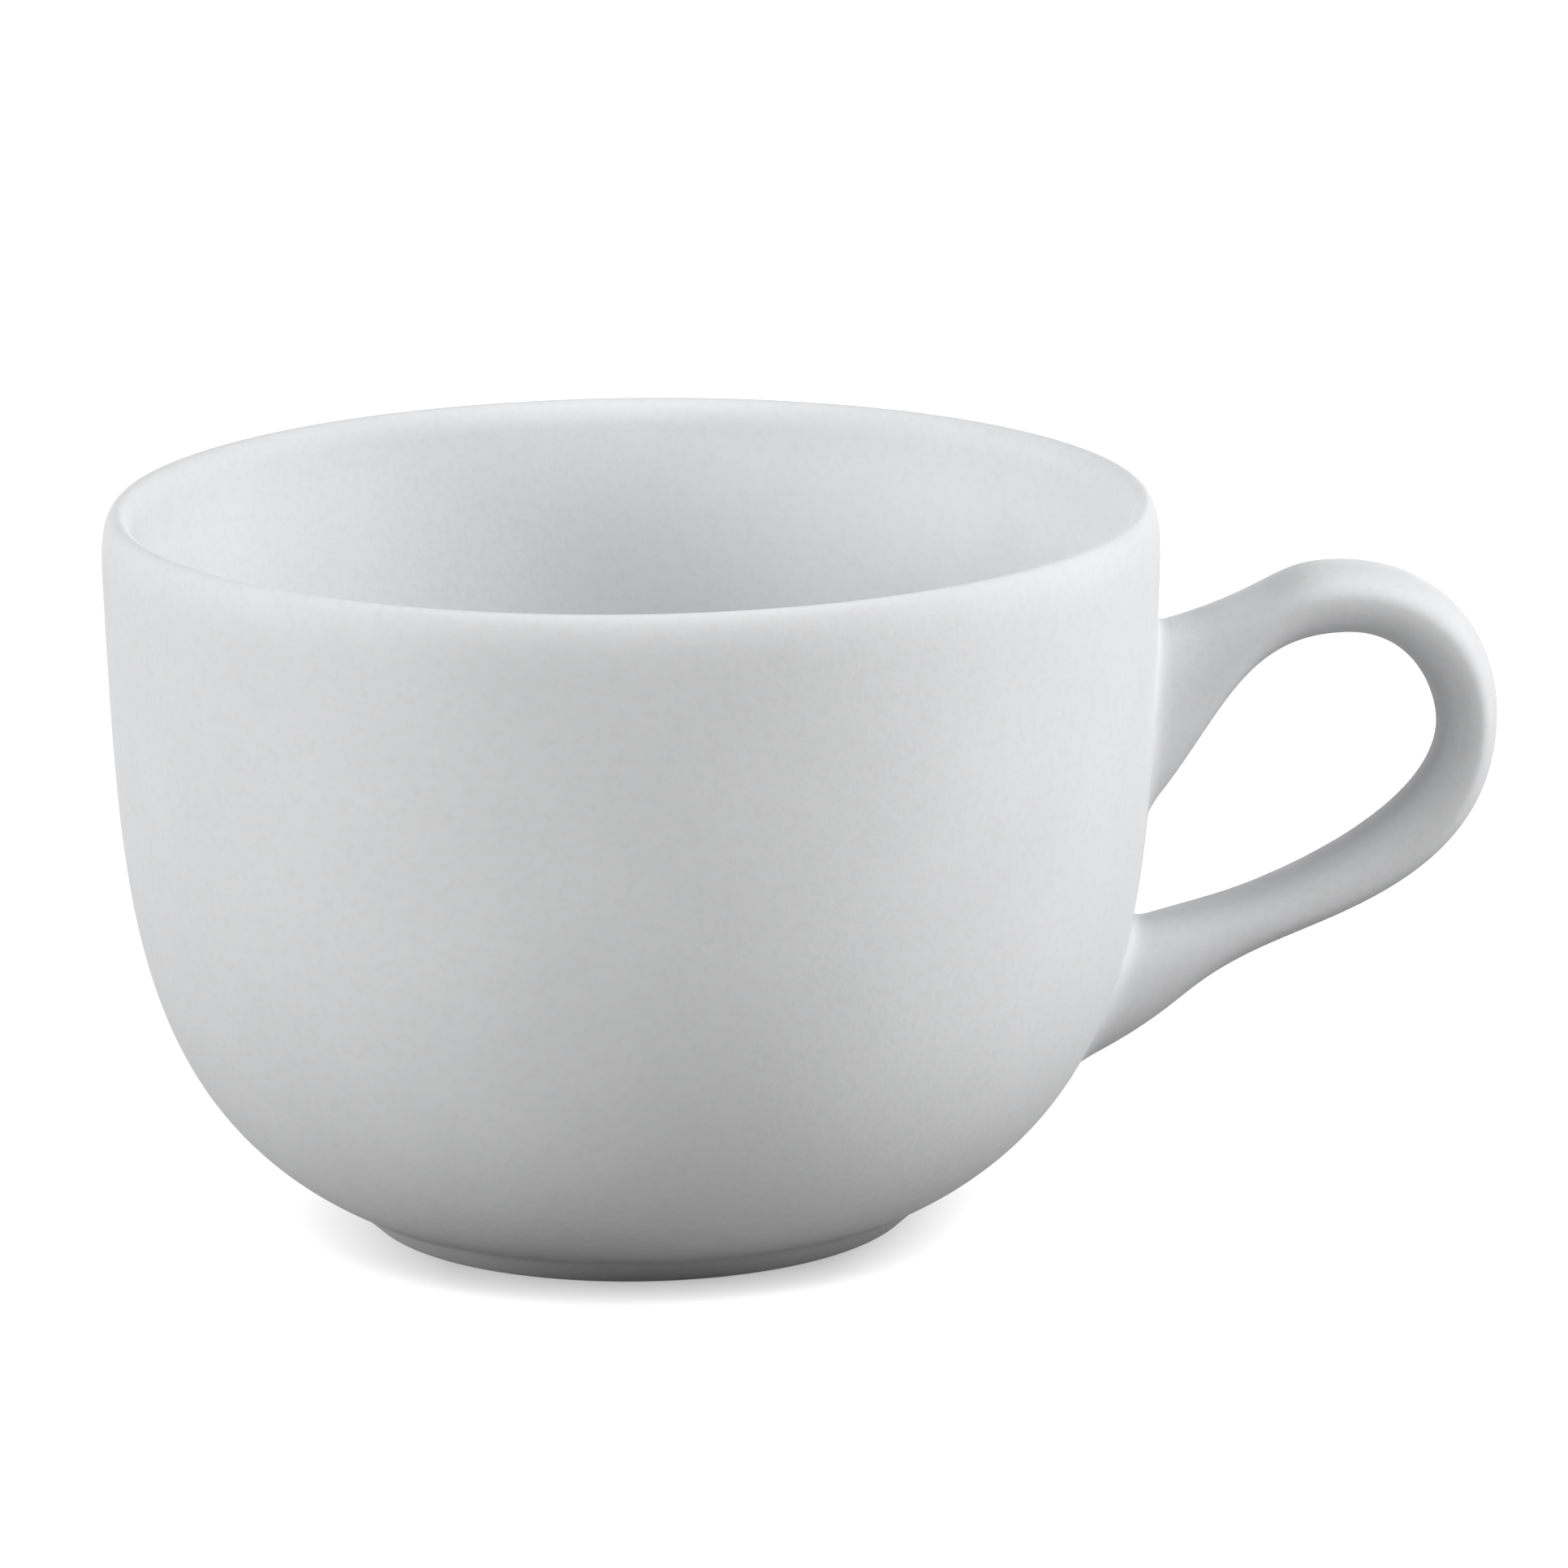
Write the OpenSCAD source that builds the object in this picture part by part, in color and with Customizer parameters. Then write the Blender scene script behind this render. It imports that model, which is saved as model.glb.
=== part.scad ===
// Cappuccino cup: a round-bellied bowl on a low foot ring, with a looped strap handle.
// The handle is cast apart from the bowl and luted to its wall with clay slip at two roots.
// The cup stands on z = 0 with its axis on Z, and the handle lies in the XZ plane at +X.

/* [Bowl] */
// Outer diameter at the rim
rim_d = 102; // [92:1:116]
// Height from the table to the top of the lip
cup_h = 70.5; // [67:0.5:80]
// Wall thickness at the rim
wall_t = 3; // [2.2:0.1:4]
// Height over which the lip is rounded
lip_rise = 2.8; // [1:0.1:4]
// How much the wall line leans in from the rim to the table, on the radius
wall_lean = 2.2; // [0:0.1:3.5]
// Thickness of the floor above the recess
floor_t = 3.6; // [3:0.1:6]
// Power of the bowl curve's height term: a larger one keeps the wall upright further down
upright_power = 4.25; // [3.4:0.05:5]
// Power of the outer curve's radius term: a larger one makes the belly fuller
belly_power = 2.55; // [2.1:0.05:3.1]
// Power of the inner curve's radius term: a larger one makes the hollow fuller
hollow_power = 3.65; // [3.2:0.05:4.2]
// Depth below the table at which the outer curve would close if the foot didn't cut it off
bowl_sink = 2.2; // [0.5:0.1:4]

/* [Foot] */
// Height of the crease where the belly meets the foot ring
crease_z = 2.7; // [2.2:0.1:3.2]
// Angle by which the foot ring's outer face flares out from upright
foot_flare = 48; // [35:1:52]
// Radius of the foot ring's lower edges
foot_edge_r = 1; // [0.5:0.1:1.2]
// Width of the flat face that the foot ring stands on
stand_w = 3.4; // [2:0.1:5]
// Depth of the recess inside the foot ring
recess_h = 1.5; // [1.2:0.1:2.5]
// How far the recess's side leans inward
recess_lean = 2.5; // [0.5:0.1:5]

/* [Handle outline] */
// How far the handle stands out beyond the rim
bow_out = 32.5; // [28:0.5:38]
// Height of the point where the handle stands out farthest
bow_z = 48.7; // [45:0.1:52]
// How much lower the innermost point of the bow lies
bow_skew = 1.2; // [0:0.1:3]
// Strap thickness at the bow
bow_t = 5.8; // [4.5:0.1:7.5]
// How far the crest lies beyond the rim
crest_out = 17.3; // [14:0.1:20]
// Height of the top of the crest
crest_z = 63.5; // [61:0.25:66]
// How much farther out the underside of the crest lies
crest_skew = 0.6; // [0:0.1:2]
// Strap thickness at the crest
crest_t = 6.6; // [5:0.1:8.5]
// How far the middle of the lower leg lies beyond the rim
leg_out = 10.5; // [8:0.1:13]
// Height of the middle of the lower leg
leg_z = 29.2; // [27:0.1:32]
// Strap thickness at the lower leg
leg_t = 5.5; // [4.5:0.1:7.5]
// Slope of the lower leg
leg_slope = 23; // [18:1:28]

/* [Handle roots] */
// Height of the upper root's top edge on the wall
upper_root_z = 57.8; // [55:0.1:60]
// Height of the upper root along the wall
upper_root_h = 18.2; // [15:0.1:21]
// Height of the lower root's top edge on the wall
lower_root_z = 28; // [26:0.5:31]
// Height of the lower root along the wall
lower_root_h = 14; // [11:0.5:16]
// Headings of the upper root's top and bottom edges as they leave the wall
upper_root_headings = [15, 50]; // [0:1:60]
// Slopes of the lower root's bottom and top edges as they reach the wall
lower_root_slopes = [27, 17]; // [0:1:45]

/* [Handle section] */
// Strap width at the roots
root_w = 12.5; // [9:0.5:15]
// Strap width at the bow
bow_w = 10.5; // [8:0.5:13]
// Power of the strap's section: 2 is an ellipse, a larger one is squarer
section_power = 2.3; // [2:0.1:3]
// Where the bow's strap is widest, from its inner to its outer face
bow_ridge_share = 0.66; // [0.5:0.01:0.75]

/* [Slip joints] */
// Thickness of the slip between each root and the wall
slip_t = 0.6; // [0.3:0.1:1]
// Width of the bead of slip around each root
bead_w = 0.7; // [0.4:0.1:1.2]

/* [Hidden] */
$fn = 240;
// Steps along the bowl's curve, the lip, a foot edge, one span of the handle and round its section
curve_steps = 40;
lip_steps = 16;
edge_steps = 6;
span_steps = 10;
section_steps = 28;
// Pen reaches on the handle's outer and inner rails, as shares of each span's chord
outer_reach_shares = [[0.64, 0.35], [0.42, 0.41], [0.48, 0.27], [0.5, 0.58]];
inner_reach_shares = [[0.4, 0.42], [0.5, 0.25], [0.3, 0.31], [0.33, 0.33]];
// Where the strap is widest at its roots
root_ridge_share = 0.5;
// How far the root solids run on into the wall and out of the slip, so that every cut is clean
overrun = wall_t / 2;
// Small step used to measure the wall's slope
probe = crease_z / 100;

rim_r = rim_d / 2;
lip_z = cup_h - lip_rise;
floor_z = recess_h + floor_t;
clay = "#ecedee";
clay_handle = "#e6e7e9";
clay_slip = "#f2f2f2";

// Bowl curve: radius at height z, for a curve that closes at z0 and has the radius r0 at the lip
function bowl_r(z, r0, z0, power) =
    let (drop = max(0, min(1, (lip_z - z) / (lip_z - z0))))
    (r0 - wall_lean * drop) * pow(1 - pow(drop, upright_power), 1 / power);
function outer_r(z) = bowl_r(z, rim_r, -bowl_sink, belly_power);
function inner_r(z) = bowl_r(z, rim_r - wall_t, floor_z, hollow_power);

// Outward normal of the outer wall at height z, as [radial, vertical]
function wall_normal(z) =
    let (d = [outer_r(z + probe) - outer_r(z - probe), 2 * probe])
    [d.y, -d.x] / norm(d);

// Heights from z_low to z_high, closer together low down where the curve bends most
function curve_heights(z_low, z_high) =
    [for (i = [0:curve_steps]) z_low + (z_high - z_low) * pow(i / curve_steps, 2)];
outer_heights = curve_heights(crease_z, lip_z);

// Outer wall moved out by a distance, from the crease to the lip
function wall_points(out) =
    [for (z = outer_heights) [outer_r(z), z] + out * wall_normal(z)];

// Rounded lower edge of the foot about a centre, from one angle to another
function edge_points(centre, start, end) =
    [for (i = [0:edge_steps]) let (a = start + (end - start) * i / edge_steps)
        centre + foot_edge_r * [cos(a), sin(a)]];

// Standing face's outer radius, where the flared face's rounded lower edge meets the table
foot_in_by = ((crease_z - foot_edge_r) * sin(foot_flare) + foot_edge_r) / cos(foot_flare);
stand_r = outer_r(crease_z) - foot_in_by;
foot_in_r = stand_r - stand_w - foot_edge_r;

// Half section of the cup: foot, belly, lip, inside and recess
function cup_outline() =
    let (
        lip_centre = [rim_r - wall_t / 2, lip_z],
        lip = [for (i = [1:lip_steps - 1]) let (a = 180 * i / lip_steps)
            lip_centre + [wall_t / 2 * cos(a), lip_rise * sin(a)]],
        inside_heights = curve_heights(floor_z, lip_z),
        inside = [for (i = [0:curve_steps]) let (z = inside_heights[curve_steps - i]) [inner_r(z), z]],
        inner_edge = edge_points([stand_r - stand_w, foot_edge_r], 180, 270),
        outer_edge = edge_points([stand_r, foot_edge_r], 270, 360 - foot_flare)
    )
    concat([[0, recess_h], [foot_in_r - recess_lean, recess_h]], inner_edge, outer_edge,
        wall_points(0), lip, inside);

// Point at t on a cubic curve with four control points
function cubic(p, t) =
    pow(1 - t, 3) * p[0] + 3 * pow(1 - t, 2) * t * p[1] + 3 * (1 - t) * t * t * p[2] + t * t * t * p[3];
function heading(angle) = [cos(angle), sin(angle)];

// Point at u (0 to 4) on a rail that passes through five points with given headings
function rail(points, angles, shares, u) =
    let (
        k = min(3, floor(u)),
        chord = norm(points[k + 1] - points[k]),
        leave = points[k] + shares[k][0] * chord * heading(angles[k]),
        arrive = points[k + 1] - shares[k][1] * chord * heading(angles[k + 1])
    )
    cubic([points[k], leave, arrive, points[k + 1]], u - k);

// Handle nodes from the upper root over the crest and the bow to the lower leg and root
function on_wall(z) = [outer_r(z), z];
leg = [rim_r + leg_out, leg_z];
leg_half = leg_t / 2 * heading(leg_slope + 90);
crest = [rim_r + crest_out, crest_z];
bow = [rim_r + bow_out, bow_z];
upper_low_z = upper_root_z - upper_root_h;
lower_low_z = lower_root_z - lower_root_h;
outer_points = [on_wall(upper_root_z), crest, bow, leg - leg_half, on_wall(lower_low_z)];
inner_points = [on_wall(upper_low_z), crest + [crest_skew, -crest_t], bow - [bow_t, bow_skew],
    leg + leg_half, on_wall(lower_root_z)];
outer_angles = [upper_root_headings[0], 0, -90, leg_slope - 180, lower_root_slopes[0] - 180];
inner_angles = [upper_root_headings[1], 0, -90, leg_slope - 180, lower_root_slopes[1] - 180];
function outer_rail(u) = rail(outer_points, outer_angles, outer_reach_shares, u);
function inner_rail(u) = rail(inner_points, inner_angles, inner_reach_shares, u);

// Strap along the handle: widest and even at the two roots, slimmest and fuller outside at the bow
function rootness(u) = pow(cos(45 * u), 2);
function strap_w(u) = bow_w + (root_w - bow_w) * rootness(u);
function ridge_share(u) = bow_ridge_share + (root_ridge_share - bow_ridge_share) * rootness(u);

// Closed ring of the strap between an outer and an inner rail point, of a given width and ridge
function ring(outer, inner, width, widest_share) =
    let (ridge = inner + widest_share * (outer - inner))
    [for (i = [0:section_steps - 1])
        let (
            a = 360 * i / section_steps,
            c = sign(cos(a)) * pow(abs(cos(a)), 2 / section_power),
            s = sign(sin(a)) * pow(abs(sin(a)), 2 / section_power),
            p = ridge + c * (c > 0 ? outer - ridge : ridge - inner)
        )
        [p.x, width / 2 * s, p.y]];

// Root ring moved along its edges' headings by a distance from the wall, and grown by a margin
function root_ring(z_top, z_low, top_angle, low_angle, away, grow) =
    let (
        n_top = wall_normal(z_top),
        n_low = wall_normal(z_low),
        top = on_wall(z_top) + away / (heading(top_angle) * n_top) * heading(top_angle),
        low = on_wall(z_low) + away / (heading(low_angle) * n_low) * heading(low_angle),
        along = (top - low) / norm(top - low)
    )
    ring(top + grow * along, low - grow * along, root_w + 2 * grow, root_ridge_share);
function upper_ring(away, grow) =
    root_ring(upper_root_z, upper_low_z, upper_root_headings[0], upper_root_headings[1], away, grow);
function lower_ring(away, grow) =
    root_ring(lower_root_z, lower_low_z, lower_root_slopes[1], lower_root_slopes[0], away, grow);

// Solid through a list of rings, closed by a flat fan at each end
module loft(rings) {
    sides = len(rings[0]);
    last = len(rings) - 1;
    points = [for (r = rings) each r];
    walls = [for (k = [0:last - 1], i = [0:sides - 1])
        let (a = k * sides + i, b = k * sides + (i + 1) % sides)
        each [[a, a + sides, b], [b, a + sides, b + sides]]];
    start_cap = [for (i = [1:sides - 2]) [0, i, i + 1]];
    end_cap = [for (i = [1:sides - 2]) [last * sides, last * sides + i + 1, last * sides + i]];
    polyhedron(points, concat(walls, start_cap, end_cap));
}

// Whole bowl filled solid and grown outward
module filled_bowl(out) {
    wall = wall_points(out);
    top = wall[curve_steps];
    rotate_extrude() polygon(concat([[0, wall[0].y]], wall, [[0, top.y]]));
}

// Layer of slip as thick as the joint, over the whole outer wall
module slip_layer() {
    far = wall_points(slip_t);
    rotate_extrude() polygon(concat(wall_points(0), [for (i = [0:curve_steps]) far[curve_steps - i]]));
}

// Bead-edged pad: one bead wider than the root at the wall, flush with it at the handle
function bead_at(away) = bead_w * (1 - away / slip_t);
module slip_pad(near, far) {
    intersection() {
        loft([near, far]);
        slip_layer();
    }
}

module cup_body() {
    color(clay) rotate_extrude() polygon(cup_outline());
}

module handle() {
    rings = [for (i = [0:4 * span_steps]) let (u = i / span_steps)
        ring(outer_rail(u), inner_rail(u), strap_w(u), ridge_share(u))];
    color(clay_handle) difference() {
        loft(concat([upper_ring(-overrun, 0)], rings, [lower_ring(-overrun, 0)]));
        filled_bowl(slip_t);
    }
}

module upper_slip_joint() {
    far = slip_t + overrun;
    color(clay_slip) slip_pad(upper_ring(-overrun, bead_at(-overrun)), upper_ring(far, bead_at(far)));
}

module lower_slip_joint() {
    far = slip_t + overrun;
    color(clay_slip) slip_pad(lower_ring(-overrun, bead_at(-overrun)), lower_ring(far, bead_at(far)));
}

cup_body();
handle();
upper_slip_joint();
lower_slip_joint();
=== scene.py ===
"""Looks of a matte white cappuccino cup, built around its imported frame. Metres, +Z up, handle at +X."""
import math

import bpy
import numpy as np
from mathutils import Matrix, Vector


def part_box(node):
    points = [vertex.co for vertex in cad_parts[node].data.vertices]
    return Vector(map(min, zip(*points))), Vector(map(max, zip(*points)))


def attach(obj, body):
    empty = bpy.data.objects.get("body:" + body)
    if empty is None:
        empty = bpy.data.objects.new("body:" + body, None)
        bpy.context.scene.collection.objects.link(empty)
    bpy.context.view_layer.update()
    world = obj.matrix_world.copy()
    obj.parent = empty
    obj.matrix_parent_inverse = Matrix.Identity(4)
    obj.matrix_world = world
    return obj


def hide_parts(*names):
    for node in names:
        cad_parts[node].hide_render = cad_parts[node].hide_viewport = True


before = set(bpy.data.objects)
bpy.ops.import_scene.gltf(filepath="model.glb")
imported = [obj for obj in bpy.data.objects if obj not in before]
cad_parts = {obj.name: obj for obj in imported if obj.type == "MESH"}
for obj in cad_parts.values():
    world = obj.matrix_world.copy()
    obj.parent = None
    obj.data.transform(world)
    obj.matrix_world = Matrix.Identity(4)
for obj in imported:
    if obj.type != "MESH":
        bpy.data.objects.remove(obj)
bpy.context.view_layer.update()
MM = 0.001

# Bowl: rim and height come from the frame, the rest are the construction's own sizes
_, BODY_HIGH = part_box("cup_body")
RIM_R = BODY_HIGH.y
CUP_H = BODY_HIGH.z
WALL_T = 3.0 * MM
LIP_RISE = 2.8 * MM
LIP_EASE_H = 9.0 * MM
LIP_EASE_POWER = 4
WALL_LEAN = 2.2 * MM
FLOOR_T = 3.6 * MM
UPRIGHT_POWER = 4.25
BELLY_POWER = 2.55
HOLLOW_POWER = 3.65
BOWL_SINK = 2.2 * MM

# Foot ring
CREASE_Z = 2.7 * MM
CREASE_FILLET = 0.8 * MM
FOOT_FLARE = 48
FOOT_EDGE_R = 1.0 * MM
STAND_W = 3.4 * MM
RECESS_H = 1.5 * MM
RECESS_LEAN = 2.5 * MM
RECESS_FILLET = 1.6 * MM
FILLET_SHARE_MOST = 0.5

# Handle: reach, crest and width come from the frame
_, HANDLE_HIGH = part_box("handle")
BOW_X = HANDLE_HIGH.x
CREST_Z = HANDLE_HIGH.z
ROOT_W = 2 * HANDLE_HIGH.y
BOW_Z = 48.7 * MM
BOW_SKEW = 1.2 * MM
BOW_T = 5.8 * MM
CREST_OUT = 17.3 * MM
CREST_SKEW = 0.6 * MM
CREST_T = 6.6 * MM
LEG_OUT = 10.5 * MM
LEG_Z = 29.2 * MM
LEG_T = 5.5 * MM
LEG_SLOPE = 23
UPPER_ROOT_Z = 57.8 * MM
UPPER_ROOT_H = 18.2 * MM
LOWER_ROOT_Z = 28.0 * MM
LOWER_ROOT_H = 14.0 * MM
UPPER_HEADINGS = (15, 50)
LOWER_SLOPES = (27, 17)
BOW_W = 10.5 * MM
SECTION_POWER = 2.3
BOW_RIDGE_SHARE = 0.66
ROOT_RIDGE_SHARE = 0.5
OUTER_REACH_SHARES = ((0.64, 0.35), (0.42, 0.41), (0.48, 0.27), (0.5, 0.58))
INNER_REACH_SHARES = ((0.4, 0.42), (0.5, 0.25), (0.3, 0.31), (0.33, 0.33))

# Stretch of the rails, in spans from the upper root, in which each root meets the wall: inside, outside
RAIL_SPANS = 4
ROOT_ENDS = {"upper": (-0.12, 0.3), "lower": (4.12, 3.7)}

# Slip joints: thickness, and the bead's width at the top, sides and bottom of each root
SLIP_T = 0.6 * MM
UPPER_BEAD = (0.5 * MM, 1.1 * MM, 0.9 * MM)
LOWER_BEAD = (1.5 * MM, 1.4 * MM, 1.0 * MM)

# Mesh resolution, and the steps of the searches along the wall
TURN_STEPS = 192
WALL_STEPS = 96
LIP_STEPS = 20
EDGE_STEPS = 8
STRAP_RINGS = 168
STRAP_SIDES = 64
BEAD_STEPS = 8
CAP_RINGS = 3
RECESS_RING_SHARES = (0.3, 0.6, 0.8)
SLOPE_STEP = 0.01 * MM
WALL_TRIES = 8
BISECTIONS = 40

# Clay: colours, gloss, and the sizes of its mottling, specks, gloss patches and grain
CLAY_PALE = (0.753, 0.756, 0.765)
CLAY_SHADE = (0.728, 0.731, 0.74)
CLAY_SPECK = (0.62, 0.62, 0.625)
CLAY_LOW_EDGE = (0.6, 0.595, 0.59)
CLAY_ROUGHNESS = 0.72
SLIP_ROUGHNESS = 0.68
ROUGHNESS_SWING = 0.06
CLAY_SPECULAR = 0.1
MOTTLE_SIZE = 12 * MM
MOTTLE_DETAIL = 3
SPECK_SIZE = 0.9 * MM
SPECK_DETAIL = 2
SPECK_SPAN = (0.45, 0.75)
SPECK_SHARE = 0.2
GLOSS_SIZE = 2.5 * MM
GLOSS_DETAIL = 3
GRAIN_SIZE = 0.9 * MM
GRAIN_DETAIL = 4
GRAIN_DEPTH = 0.07 * MM
SLIP_GRAIN_DEPTH = GRAIN_DEPTH / 2
GRAIN_STRENGTH = 0.5
NOISE_SPAN = (0.3, 0.7)
# Darker clay over the lowest few tenths of a millimetre of the foot, fading out upward
LOW_EDGE_H = 0.7 * MM
LOW_EDGE_SHARE = 0.7

# Camera of the photograph, fitted to the cup's outline
PHOTO_PX = 1932
FOCAL_PX = 12000
SENSOR_W = 36
CAMERA_BACK = 916 * MM
CAMERA_UP = 267.1 * MM
CAMERA_YAW = 0.905
CAMERA_PITCH = 13.79
CAMERA_ROLL = -0.581
CAMERA_FAR = 20.0

# Stage: floor and world that the camera sees as white, with a contact shadow that fades at the cup's sides
WHITE = (1, 1, 1)
FLOOR_HALF = 3.0
FLOOR_BOUNCE = (0.3, 0.3, 0.3)
# Bounce colour of the floor close to the cup: painted shade that darkens the light bounced onto the foot
FLOOR_BOUNCE_SHADE = (0.02, 0.02, 0.02)
FLOOR_SEEN = (0.3, 0.3, 0.3)
FLOOR_GLOW = 0.88
FLOOR_FADE = (0.2, 0.6)
FLOOR_GAP = 0.02 * MM
CONTACT_REACH = 5 * MM
CONTACT_SHADE = 0.4
SIDE_SHADE = 0.8
SIDE_SPAN = (18 * MM, 32 * MM)
AMBIENT = 0.01

# Soft boxes, aimed at the cup: name, azimuth from +X, elevation, width, height, watts
BOX_AIM_X = 10 * MM
BOX_DISTANCE = 1.0
BOX_W = 0.4
STRIP_W = 0.8
STRIP_H = 0.12
SOFT_BOXES = (
    ("left_box", 200, 18, BOX_W, BOX_W, 7.0),
    ("left_high_box", 180, 58, BOX_W, BOX_W, 1.9),
    ("front_box", 300, 28, BOX_W, BOX_W, 3.6),
    ("right_box", 352, 40, BOX_W, BOX_W, 4.6),
    ("right_low_box", 352, 18, BOX_W, BOX_W, 3.1),
    ("back_fill", 90, 5, STRIP_W, STRIP_H, 4.0),
)

# Spot lamp below the floor, as wide as the standing ring: it shows the recess from underneath
UNDER_DEPTH = 0.3
UNDER_RADIUS = 25.5 * MM
UNDER_SOFTNESS = 0.5 * MM
UNDER_BLEND = 0.05
UNDER_WATTS = 1.6

LIP_Z = CUP_H - LIP_RISE
FLOOR_Z = RECESS_H + FLOOR_T


def bowl_radius(z, rim, bottom, power):
    """Radius at height z of a bowl curve that closes at the bottom and has the rim's radius at the lip."""
    drop = np.clip((LIP_Z - z) / (LIP_Z - bottom), 0, 1)
    return (rim - WALL_LEAN * drop) * (1 - drop ** UPRIGHT_POWER) ** (1 / power)


def outer_radius(z):
    return bowl_radius(z, RIM_R, -BOWL_SINK, BELLY_POWER)


def inner_radius(z):
    return bowl_radius(z, RIM_R - WALL_T, FLOOR_Z, HOLLOW_POWER)


def wall_normal(z):
    """Outward normal of the outer wall at height z, as (radial, vertical)."""
    slope = (outer_radius(z + SLOPE_STEP) - outer_radius(z - SLOPE_STEP)) / (2 * SLOPE_STEP)
    return np.array([1.0, -slope]) / math.hypot(1, slope)


def arc(centre, radius, start, end, steps):
    angles = np.radians(np.linspace(start, end, steps + 1))
    return [(centre[0] + radius * math.cos(a), centre[1] + radius * math.sin(a)) for a in angles]


def fillet(before, corner, after, reach, steps):
    """Smooth run between two straight edges that meet at a corner, over a share of each at most."""
    before, corner, after = (np.array(p) for p in (before, corner, after))
    start = corner + (before - corner) * min(FILLET_SHARE_MOST, reach / np.linalg.norm(before - corner))
    end = corner + (after - corner) * min(FILLET_SHARE_MOST, reach / np.linalg.norm(after - corner))
    run = []
    for t in np.linspace(0, 1, steps + 1):
        run.append(tuple((1 - t) ** 2 * start + 2 * t * (1 - t) * corner + t * t * end))
    return run


def curve_heights(low, high, steps):
    """Heights from low to high that lie closer together near the low end."""
    return low + (high - low) * np.linspace(0, 1, steps + 1) ** 2


def outer_lip():
    """Outer half of the lip: it eases in from the wall over a long height and is round at the top."""
    run = []
    for a in np.radians(np.linspace(0, 90, LIP_STEPS + 1))[1:]:
        z = CUP_H - LIP_EASE_H * (1 - math.sin(a) ** (2 / LIP_EASE_POWER))
        run.append((float(outer_radius(z)) - WALL_T / 2 * (1 - math.cos(a)), z))
    return run


def inner_lip():
    """Inner half of the lip: a quarter oval from the top to the inside wall."""
    run = []
    for a in np.radians(np.linspace(90, 180, LIP_STEPS + 1))[1:-1]:
        run.append((RIM_R - WALL_T / 2 + WALL_T / 2 * math.cos(a), LIP_Z + LIP_RISE * math.sin(a)))
    return run


def cup_profile():
    """Half section of the cup as (radius, height), from the recess round the outside to the inside floor."""
    flare = math.radians(FOOT_FLARE)
    foot_in_by = ((CREASE_Z - FOOT_EDGE_R) * math.sin(flare) + FOOT_EDGE_R) / math.cos(flare)
    stand_r = float(outer_radius(CREASE_Z)) - foot_in_by
    recess_edge = (stand_r - STAND_W - FOOT_EDGE_R - RECESS_LEAN, RECESS_H)
    inner_edge = arc((stand_r - STAND_W, FOOT_EDGE_R), FOOT_EDGE_R, 180, 270, EDGE_STEPS)
    outer_edge = arc((stand_r, FOOT_EDGE_R), FOOT_EDGE_R, 270, 360 - FOOT_FLARE, EDGE_STEPS)
    crease = (float(outer_radius(CREASE_Z)), CREASE_Z)
    belly_z = CREASE_Z + CREASE_FILLET
    belly = (float(outer_radius(belly_z)), belly_z)
    outside = [(float(outer_radius(z)), z) for z in curve_heights(belly_z, CUP_H - LIP_EASE_H, WALL_STEPS)]
    inside = [(float(inner_radius(z)), z) for z in curve_heights(FLOOR_Z, LIP_Z, WALL_STEPS)[::-1]]
    recess_mid = [(share * recess_edge[0], RECESS_H) for share in RECESS_RING_SHARES]
    recess_turn = fillet(recess_mid[-1], recess_edge, inner_edge[0], RECESS_FILLET, EDGE_STEPS)
    crease_turn = fillet(outer_edge[-1], crease, belly, CREASE_FILLET, EDGE_STEPS)
    return (
        [(0.0, RECESS_H)] + recess_mid + recess_turn + inner_edge
        + outer_edge + crease_turn + outside[1:] + outer_lip() + inner_lip() + inside
    )


def mesh_object(name, verts, faces, sharp_edges=()):
    """Smooth-shaded object in the scene, with some edges kept sharp."""
    mesh = bpy.data.meshes.new(name)
    mesh.from_pydata([tuple(v) for v in verts], [], faces)
    mesh.validate()
    for poly in mesh.polygons:
        poly.use_smooth = True
    if sharp_edges:
        wanted = {tuple(sorted(e)) for e in sharp_edges}
        for edge in mesh.edges:
            edge.use_edge_sharp = tuple(sorted(edge.vertices)) in wanted
    obj = bpy.data.objects.new(name, mesh)
    bpy.context.scene.collection.objects.link(obj)
    return obj


def revolve(name, profile):
    """Closed solid of revolution whose first and last profile points lie on the axis."""
    rings = profile[1:-1]
    verts = [(0, 0, profile[0][1]), (0, 0, profile[-1][1])]
    for r, z in rings:
        for k in range(TURN_STEPS):
            a = 2 * math.pi * k / TURN_STEPS
            verts.append((r * math.cos(a), r * math.sin(a), z))

    def at(ring, k):
        return 2 + ring * TURN_STEPS + k % TURN_STEPS

    last = len(rings) - 1
    faces = []
    for k in range(TURN_STEPS):
        faces.append((0, at(0, k + 1), at(0, k)))
        faces.append((1, at(last, k), at(last, k + 1)))
        for ring in range(last):
            faces.append((at(ring, k), at(ring, k + 1), at(ring + 1, k + 1), at(ring + 1, k)))
    return mesh_object(name, verts, faces)


def heading(angle):
    return np.array([math.cos(math.radians(angle)), math.sin(math.radians(angle))])


def on_wall(z):
    return np.array([float(outer_radius(z)), z])


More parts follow.
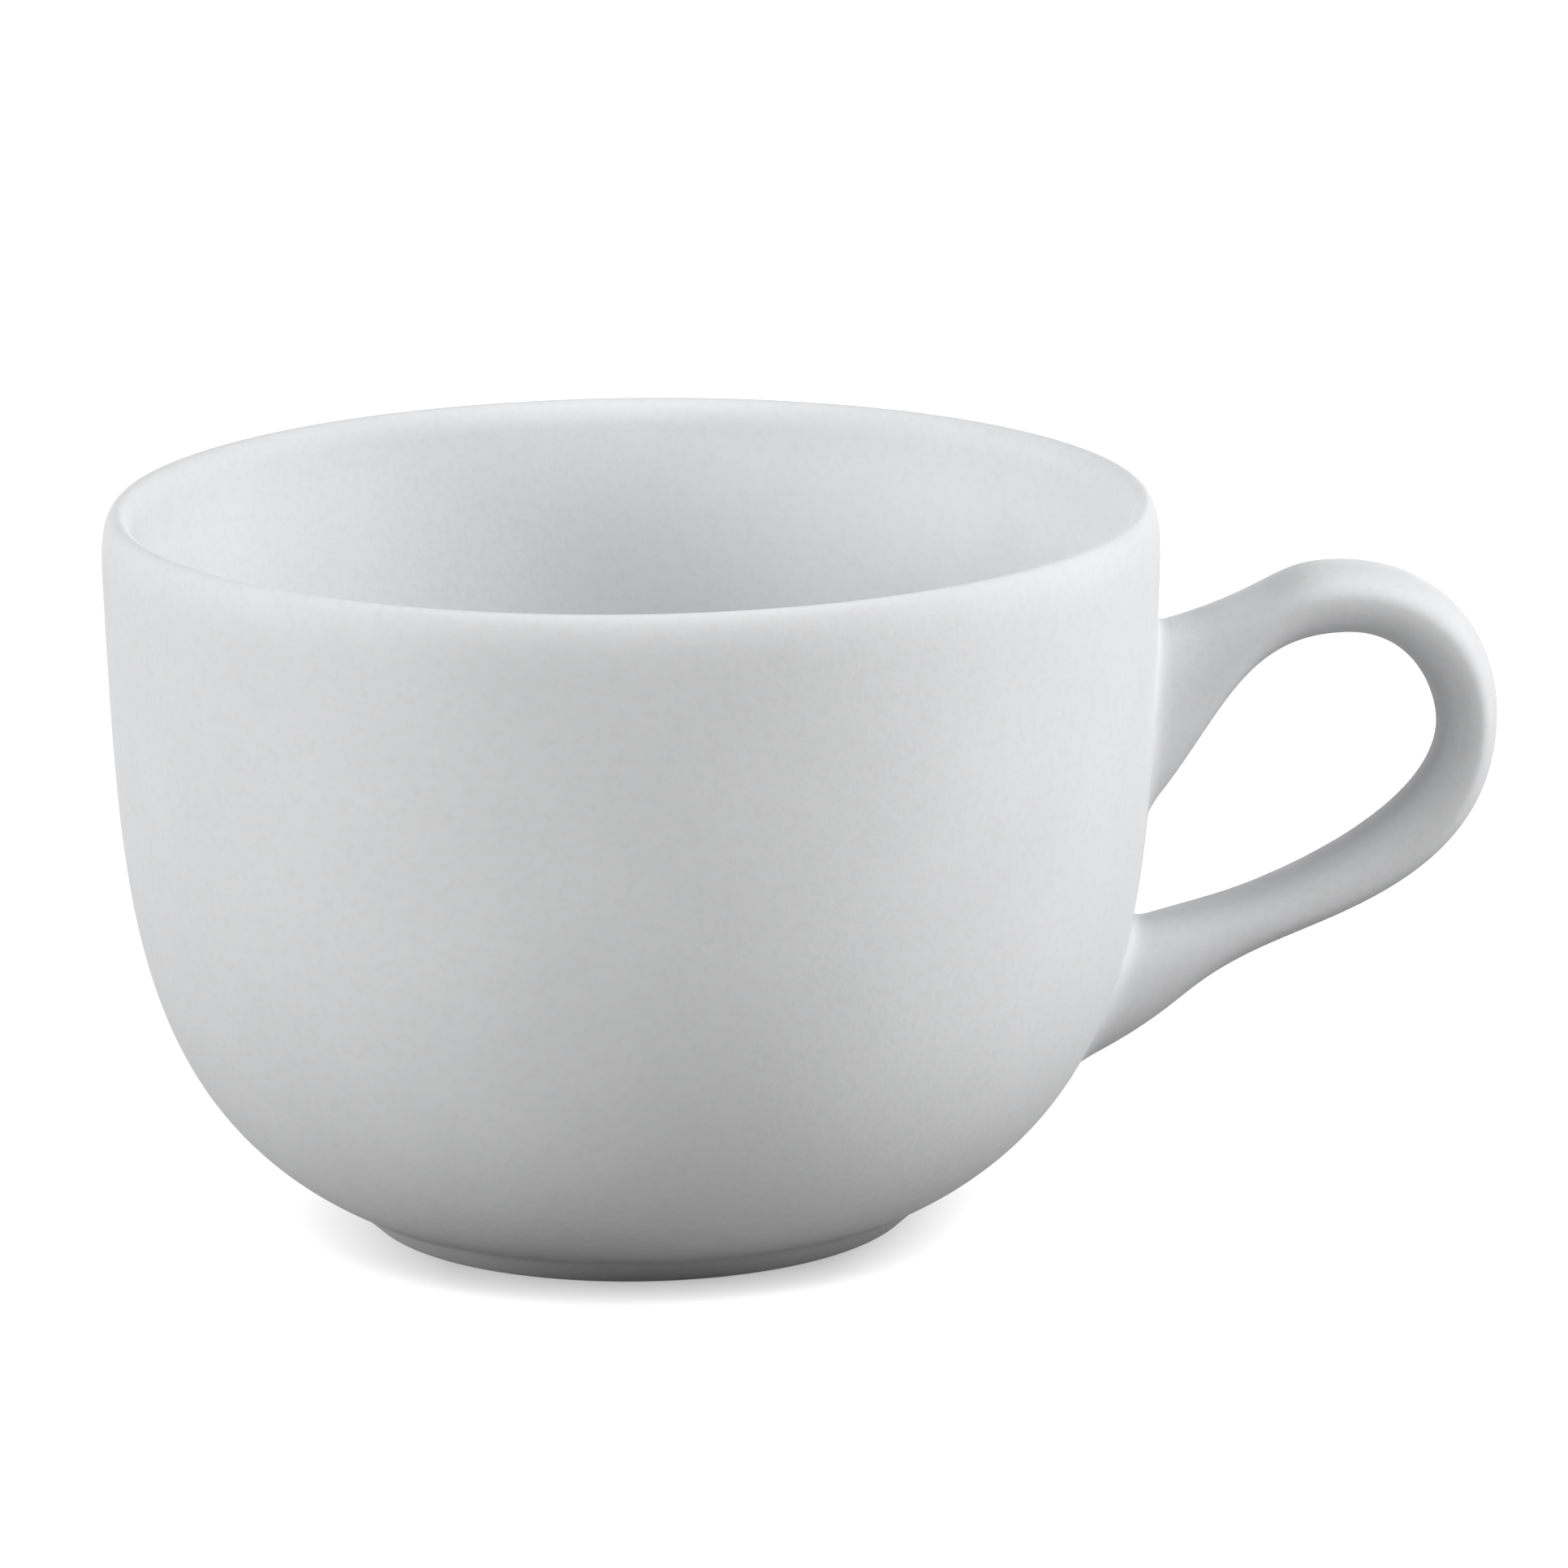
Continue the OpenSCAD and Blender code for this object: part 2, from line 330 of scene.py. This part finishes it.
def handle_rails():
    """Five points and headings on each of the handle's outer and inner rails, in the XZ plane."""
    leg = np.array([RIM_R + LEG_OUT, LEG_Z])
    leg_half = LEG_T / 2 * heading(LEG_SLOPE + 90)
    crest = np.array([RIM_R + CREST_OUT, CREST_Z])
    bow = np.array([BOW_X, BOW_Z])
    outer = [on_wall(UPPER_ROOT_Z), crest, bow, leg - leg_half, on_wall(LOWER_ROOT_Z - LOWER_ROOT_H)]
    inner = [
        on_wall(UPPER_ROOT_Z - UPPER_ROOT_H),
        crest + np.array([CREST_SKEW, -CREST_T]),
        bow - np.array([BOW_T, BOW_SKEW]),
        leg + leg_half,
        on_wall(LOWER_ROOT_Z),
    ]
    outer_angles = [UPPER_HEADINGS[0], 0, -90, LEG_SLOPE - 180, LOWER_SLOPES[0] - 180]
    inner_angles = [UPPER_HEADINGS[1], 0, -90, LEG_SLOPE - 180, LOWER_SLOPES[1] - 180]
    return (
        rail_spans(outer, outer_angles, OUTER_REACH_SHARES),
        rail_spans(inner, inner_angles, INNER_REACH_SHARES),
    )


def rail_spans(points, angles, shares):
    """Control points of the cubic spans of a rail."""
    spans = []
    for k in range(RAIL_SPANS):
        chord = np.linalg.norm(points[k + 1] - points[k])
        leave = points[k] + shares[k][0] * chord * heading(angles[k])
        arrive = points[k + 1] - shares[k][1] * chord * heading(angles[k + 1])
        spans.append((points[k], leave, arrive, points[k + 1]))
    return spans


def rail_point(spans, u):
    """Point at u spans from the start of a rail, run on straight past either end."""
    k = int(min(RAIL_SPANS - 1, max(0, math.floor(u))))
    p0, p1, p2, p3 = spans[k]
    t = min(1, max(0, u - k))
    point = (1 - t) ** 3 * p0 + 3 * (1 - t) ** 2 * t * p1 + 3 * (1 - t) * t * t * p2 + t ** 3 * p3
    past = u - k - t
    if past < 0:
        point = point + 3 * past * (p1 - p0)
    if past > 0:
        point = point + 3 * past * (p3 - p2)
    return point


OUTER_RAIL, INNER_RAIL = handle_rails()


def strap_point(side, u):
    """Point on the handle's surface: side runs round the section from 0 to 1, u counts the rails' spans."""
    outer, inner = rail_point(OUTER_RAIL, u), rail_point(INNER_RAIL, u)
    turn = 2 * math.pi * side
    c = math.copysign(abs(math.cos(turn)) ** (2 / SECTION_POWER), math.cos(turn))
    s = math.copysign(abs(math.sin(turn)) ** (2 / SECTION_POWER), math.sin(turn))
    rootness = math.cos(math.pi * min(RAIL_SPANS, max(0, u)) / RAIL_SPANS) ** 2
    width = BOW_W + (ROOT_W - BOW_W) * rootness
    ridge_share = BOW_RIDGE_SHARE + (ROOT_RIDGE_SHARE - BOW_RIDGE_SHARE) * rootness
    ridge = inner + ridge_share * (outer - inner)
    p = ridge + c * (outer - ridge if c > 0 else ridge - inner)
    return np.array([p[0], width / 2 * s, p[1]])


def wall_distance(p):
    """Signed distance of a point from the outer wall, with the height of the nearest wall point."""
    radius, z = math.hypot(p[0], p[1]), p[2]
    for _ in range(WALL_TRIES):
        n = wall_normal(z)
        away = (radius - float(outer_radius(z))) * n[0] + (p[2] - z) * n[1]
        z = p[2] - away * n[1]
    return away, z


def at_wall(p, away):
    """Point moved to a given distance from the outer wall."""
    _, z = wall_distance(p)
    n = wall_normal(z)
    radius = float(outer_radius(z)) + away * n[0]
    scale = radius / math.hypot(p[0], p[1])
    return np.array([p[0] * scale, p[1] * scale, z + away * n[1]])


def wall_outward(p):
    """Outward normal of the outer wall at the point nearest to p."""
    _, z = wall_distance(p)
    radial, vertical = wall_normal(z)
    turn = math.atan2(p[1], p[0])
    return np.array([radial * math.cos(turn), radial * math.sin(turn), vertical])


def reach_wall(side, near, far, away):
    """The u between near (at the wall) and far at which the strap lies a given distance from the wall."""
    for _ in range(BISECTIONS):
        mid = (near + far) / 2
        if wall_distance(strap_point(side, mid))[0] < away:
            near = mid
        else:
            far = mid
    return (near + far) / 2


SIDES = [k / STRAP_SIDES for k in range(STRAP_SIDES)]


def root_line(root, away):
    """The u round a root at which the strap lies a given distance from the wall."""
    near, far = ROOT_ENDS[root]
    return [reach_wall(side, near, far, away) for side in SIDES]


def bridge(faces, first, second, flip):
    """Adds the faces between two closed rings of vertices."""
    n = len(first)
    for i in range(n):
        j = (i + 1) % n
        face = (first[i], first[j], second[j], second[i])
        faces.append(face[::-1] if flip else face)


def ring_at(start):
    """Vertices of one ring of the strap's section, numbered from start."""
    return list(range(start, start + STRAP_SIDES))


def ring_edges(ring):
    return list(zip(ring, ring[1:] + ring[:1]))


def cap(verts, faces, ring, away, flip):
    """Closes a ring that lies along the wall with rings that shrink to its middle and follow the wall."""
    edge = [verts[i] for i in ring]
    middle = sum(edge) / len(edge)
    rows = [ring]
    for k in range(1, CAP_RINGS):
        share = 1 - k / CAP_RINGS
        rows.append(list(range(len(verts), len(verts) + len(ring))))
        verts.extend(at_wall(middle + share * (p - middle), away) for p in edge)
    centre = len(verts)
    verts.append(at_wall(middle, away))
    for outer_row, inner_row in zip(rows[:-1], rows[1:]):
        bridge(faces, outer_row, inner_row, flip)
    for a, b in ring_edges(rows[-1]):
        face = (a, b, centre)
        faces.append(face[::-1] if flip else face)


def strap_handle(name):
    """The handle: an egg-shaped strap lofted between its rails, its roots cut to the wall's curve."""
    start, end = root_line("upper", SLIP_T), root_line("lower", SLIP_T)
    verts, faces = [], []
    for r in range(STRAP_RINGS + 1):
        share = r / STRAP_RINGS
        for i, side in enumerate(SIDES):
            verts.append(strap_point(side, start[i] + share * (end[i] - start[i])))
    rings = [ring_at(r * STRAP_SIDES) for r in range(STRAP_RINGS + 1)]
    for first, second in zip(rings[:-1], rings[1:]):
        bridge(faces, first, second, True)
    cap(verts, faces, rings[0], SLIP_T, False)
    cap(verts, faces, rings[-1], SLIP_T, True)
    return mesh_object(name, verts, faces)


def bead_width(sizes, turn_from_top):
    """Bead width round a root: sizes are given at the top, the sides and the bottom."""
    top, flank, bottom = sizes
    c = math.cos(2 * math.pi * turn_from_top)
    return flank + (top - flank) * max(0, c) ** 2 + (bottom - flank) * max(0, -c) ** 2


def slip_joint(name, root, sizes):
    """The slip at a root: a pad between handle and wall whose bead runs out on both in a hollow curve."""
    near, far = ROOT_ENDS[root]
    corner = [strap_point(side, u) for side, u in zip(SIDES, root_line(root, 0))]
    foot = [strap_point(side, u) for side, u in zip(SIDES, root_line(root, SLIP_T))]
    middle = sum(corner) / len(corner)
    upper = root == "upper"
    rows = [[] for _ in range(BEAD_STEPS + 1)]
    for i, side in enumerate(SIDES):
        turn_from_top = side if upper else 0.5 - side
        width = bead_width(sizes, turn_from_top)
        run = corner[(i + 1) % STRAP_SIDES] - corner[i - 1]
        out = np.cross(run, wall_outward(corner[i]))
        out /= np.linalg.norm(out)
        if np.dot(out, corner[i] - middle) < 0:
            out = -out
        low = at_wall(corner[i] + width * out, 0)
        high = strap_point(side, reach_wall(side, near, far, SLIP_T + width))
        for k in range(BEAD_STEPS + 1):
            t = k / BEAD_STEPS
            rows[k].append((1 - t) ** 2 * low + 2 * t * (1 - t) * corner[i] + t * t * high)
    rows.append(foot)
    verts = [p for row in rows for p in row]
    faces = []
    rings = [ring_at(r * STRAP_SIDES) for r in range(len(rows))]
    for first, second in zip(rings[:-1], rings[1:]):
        bridge(faces, first, second, upper)
    cap(verts, faces, rings[0], 0, not upper)
    cap(verts, faces, rings[-1], SLIP_T, upper)
    sharp = [edge for ring in (rings[0], rings[BEAD_STEPS], rings[-1]) for edge in ring_edges(ring)]
    return mesh_object(name, verts, faces, sharp)


class NodeTree:
    """Short-hand for building the nodes of a material or a world."""

    def __init__(self, owner):
        self.owner = owner
        owner.use_nodes = True
        self.nodes = owner.node_tree.nodes
        self.links = owner.node_tree.links

    def put(self, value, socket):
        """Feeds a socket with another node's output, a fixed colour or a fixed number."""
        if isinstance(value, bpy.types.NodeSocket):
            self.links.new(value, socket)
        elif isinstance(value, tuple):
            socket.default_value = (*value, 1)
        else:
            socket.default_value = value

    def add(self, kind, **values):
        """New node whose sockets, named with _ for a space, get the values."""
        node = self.nodes.new(kind)
        for socket, value in values.items():
            self.put(value, node.inputs[socket.replace("_", " ")])
        return node

    def coordinates(self):
        return self.nodes.new("ShaderNodeTexCoord").outputs["Object"]

    def noise(self, coords, size, detail):
        """Noise from 0 to 1 whose patches are about the given size."""
        return self.add("ShaderNodeTexNoise", Vector=coords, Scale=1 / size, Detail=detail).outputs["Fac"]

    def span(self, value, start, end, low, high):
        """Value mapped from start..end to low..high, and held there beyond."""
        ends = {"From_Min": start, "From_Max": end, "To_Min": low, "To_Max": high}
        return self.add("ShaderNodeMapRange", Value=value, **ends).outputs["Result"]

    def calc(self, operation, *values):
        """Result of a math operation on other nodes' outputs."""
        node = self.nodes.new("ShaderNodeMath")
        node.operation = operation
        for value, socket in zip(values, node.inputs):
            self.put(value, socket)
        return node.outputs["Value"]

    def blend(self, factor, first, second):
        """Colour between two, each a fixed colour or another node's output."""
        node = self.add("ShaderNodeMix", Factor=factor)
        node.data_type = "RGBA"
        colours = [socket for socket in node.inputs if socket.type == "RGBA"]
        for colour, socket in zip((first, second), colours):
            self.put(colour, socket)
        return next(o for o in node.outputs if o.type == "RGBA")

    def mix(self, factor, first, second):
        """Shader between two shaders."""
        node = self.add("ShaderNodeMixShader", Fac=factor)
        self.put(first, node.inputs[1])
        self.put(second, node.inputs[2])
        return node.outputs["Shader"]

    def background_rays(self):
        """1 for the rays that show the background: the camera's, and those from glossy or clear surfaces."""
        path = self.nodes.new("ShaderNodeLightPath").outputs
        indirect = self.calc("MAXIMUM", path["Is Glossy Ray"], path["Is Transmission Ray"])
        return self.calc("MAXIMUM", path["Is Camera Ray"], indirect)


def clay_material(name, roughness, grain_depth):
    """Matte fired clay: faint mottling and specks, uneven gloss, fine grain, and darker clay at the foot's
    lowest edge.
    """
    tree = NodeTree(bpy.data.materials.new(name))
    coords = tree.coordinates()
    mottle = tree.span(tree.noise(coords, MOTTLE_SIZE, MOTTLE_DETAIL), *NOISE_SPAN, 0, 1)
    specks = tree.span(tree.noise(coords, SPECK_SIZE, SPECK_DETAIL), *SPECK_SPAN, 0, SPECK_SHARE)
    height = tree.add("ShaderNodeSeparateXYZ", Vector=coords).outputs["Z"]
    # The clay is darker towards the bottom edge of the foot
    low_edge = tree.span(height, 0, LOW_EDGE_H, LOW_EDGE_SHARE, 0)
    colour = tree.blend(mottle, CLAY_SHADE, CLAY_PALE)
    colour = tree.blend(specks, colour, CLAY_SPECK)
    colour = tree.blend(low_edge, colour, CLAY_LOW_EDGE)
    gloss = tree.noise(coords, GLOSS_SIZE, GLOSS_DETAIL)
    uneven = tree.span(gloss, *NOISE_SPAN, roughness - ROUGHNESS_SWING, roughness + ROUGHNESS_SWING)
    grain = tree.noise(coords, GRAIN_SIZE, GRAIN_DETAIL)
    bump = tree.add("ShaderNodeBump", Strength=GRAIN_STRENGTH, Distance=grain_depth, Height=grain)
    surface = tree.nodes["Principled BSDF"].inputs
    tree.put(colour, surface["Base Color"])
    tree.put(uneven, surface["Roughness"])
    tree.put(CLAY_SPECULAR, surface["Specular IOR Level"])
    tree.put(bump.outputs["Normal"], surface["Normal"])
    return tree.owner


def dress(piece, material, node):
    """Gives a piece its clay and its place in the frame, and hides the imported node that it stands for."""
    piece.data.materials.append(material)
    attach(piece, "root")
    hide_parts(node)


def build_cup():
    body_clay = clay_material("body_clay", CLAY_ROUGHNESS, GRAIN_DEPTH)
    handle_clay = clay_material("handle_clay", CLAY_ROUGHNESS, GRAIN_DEPTH)
    slip_clay = clay_material("luting_slip", SLIP_ROUGHNESS, SLIP_GRAIN_DEPTH)
    dress(revolve("cup_shell", cup_profile()), body_clay, "cup_body")
    dress(strap_handle("handle_strap"), handle_clay, "handle")
    dress(slip_joint("upper_slip_bead", "upper", UPPER_BEAD), slip_clay, "upper_slip_joint")
    dress(slip_joint("lower_slip_bead", "lower", LOWER_BEAD), slip_clay, "lower_slip_joint")


def floor_glow(tree, contact):
    """Strength of the floor's glow: white far out, dimmer by the cup, and darker in the contact shadow."""
    coords = tree.coordinates()
    away = tree.add("ShaderNodeVectorMath", Vector=coords)
    away.operation = "LENGTH"
    aside = tree.calc("ABSOLUTE", tree.add("ShaderNodeSeparateXYZ", Vector=coords).outputs["X"])
    darkest = tree.span(aside, *SIDE_SPAN, CONTACT_SHADE, SIDE_SHADE)
    shade = tree.span(contact, 0, 1, darkest, 1)
    level = tree.span(away.outputs["Value"], *FLOOR_FADE, FLOOR_GLOW, 1)
    return tree.calc("MULTIPLY", shade, level)


def floor_material():
    """White to the camera except in the cup's shadow, a grey floor to the light that it bounces, with painted
    shade where it meets the cup.
    """
    tree = NodeTree(bpy.data.materials.new("floor"))
    tree.nodes.clear()
    contact = tree.add("ShaderNodeAmbientOcclusion", Distance=CONTACT_REACH).outputs["AO"]
    # Painted shade: the bounced colour darkens to near black close to the cup
    bounce = tree.add("ShaderNodeBsdfDiffuse", Color=tree.blend(contact, FLOOR_BOUNCE_SHADE, FLOOR_BOUNCE))
    seen = tree.add("ShaderNodeBsdfDiffuse", Color=FLOOR_SEEN)
    glow = tree.add("ShaderNodeEmission", Strength=floor_glow(tree, contact))
    lit = tree.nodes.new("ShaderNodeAddShader")
    tree.put(seen.outputs["BSDF"], lit.inputs[0])
    tree.put(glow.outputs["Emission"], lit.inputs[1])
    clear = tree.nodes.new("ShaderNodeBsdfTransparent")
    from_below = tree.nodes.new("ShaderNodeNewGeometry").outputs["Backfacing"]
    surface = tree.mix(tree.background_rays(), bounce.outputs["BSDF"], lit.outputs["Shader"])
    surface = tree.mix(from_below, surface, clear.outputs["BSDF"])
    tree.add("ShaderNodeOutputMaterial", Surface=surface)
    return tree.owner


def build_floor():
    """The floor casts no shadow, so that the lamp below it reaches the cup."""
    h = FLOOR_HALF
    floor = mesh_object("floor", [(-h, -h, 0), (h, -h, 0), (h, h, 0), (-h, h, 0)], [(0, 1, 2, 3)])
    floor.location.z = -FLOOR_GAP
    floor.visible_shadow = False
    floor.data.materials.append(floor_material())


def build_world():
    """White where it shows as the background, a faint ambient light elsewhere."""
    world = bpy.data.worlds.new("studio")
    bpy.context.scene.world = world
    tree = NodeTree(world)
    tree.nodes.clear()
    ambient = tree.add("ShaderNodeBackground", Color=WHITE, Strength=AMBIENT)
    white = tree.add("ShaderNodeBackground", Color=WHITE, Strength=1)
    surface = tree.mix(tree.background_rays(), ambient.outputs["Background"], white.outputs["Background"])
    tree.add("ShaderNodeOutputWorld", Surface=surface)


def build_soft_boxes():
    aim = Vector((BOX_AIM_X, 0, CUP_H / 2))
    for name, azimuth, elevation, width, height, watts in SOFT_BOXES:
        lamp = bpy.data.lights.new(name, "AREA")
        lamp.shape = "RECTANGLE"
        lamp.size = width
        lamp.size_y = height
        lamp.energy = watts
        a, e = math.radians(azimuth), math.radians(elevation)
        obj = bpy.data.objects.new(name, lamp)
        ray = Vector((math.cos(a) * math.cos(e), math.sin(a) * math.cos(e), math.sin(e)))
        obj.location = aim + BOX_DISTANCE * ray
        obj.rotation_euler = ray.to_track_quat("Z", "Y").to_euler()
        bpy.context.scene.collection.objects.link(obj)


def build_under_lamp():
    lamp = bpy.data.lights.new("under_lamp", "SPOT")
    lamp.energy = UNDER_WATTS
    lamp.shadow_soft_size = UNDER_SOFTNESS
    lamp.spot_size = 2 * math.atan(UNDER_RADIUS / UNDER_DEPTH)
    lamp.spot_blend = UNDER_BLEND
    obj = bpy.data.objects.new("under_lamp", lamp)
    obj.location.z = -UNDER_DEPTH
    obj.rotation_euler.x = math.pi
    bpy.context.scene.collection.objects.link(obj)


def build_camera():
    """The photograph's camera, turned by its yaw, then its pitch, then its roll."""
    yaw, pitch, roll = (math.radians(v) for v in (CAMERA_YAW, CAMERA_PITCH, CAMERA_ROLL))
    ahead = Vector((math.sin(yaw) * math.cos(pitch), math.cos(yaw) * math.cos(pitch), -math.sin(pitch)))
    right = Vector((math.cos(yaw), -math.sin(yaw), 0))
    up = right.cross(ahead)
    tilted_right = math.cos(roll) * right + math.sin(roll) * up
    tilted_up = math.cos(roll) * up - math.sin(roll) * right
    lens = bpy.data.cameras.new("photo_camera")
    lens.sensor_width = SENSOR_W
    lens.lens = SENSOR_W * FOCAL_PX / PHOTO_PX
    lens.clip_end = CAMERA_FAR
    camera = bpy.data.objects.new("photo_camera", lens)
    turn = Matrix((tilted_right, tilted_up, -ahead)).transposed()
    camera.matrix_world = Matrix.Translation((0, -CAMERA_BACK, CAMERA_UP)) @ turn.to_4x4()
    bpy.context.scene.collection.objects.link(camera)
    bpy.context.scene.camera = camera


build_cup()
build_floor()
build_world()
build_soft_boxes()
build_under_lamp()
build_camera()
bpy.context.scene.view_settings.view_transform = "Standard"
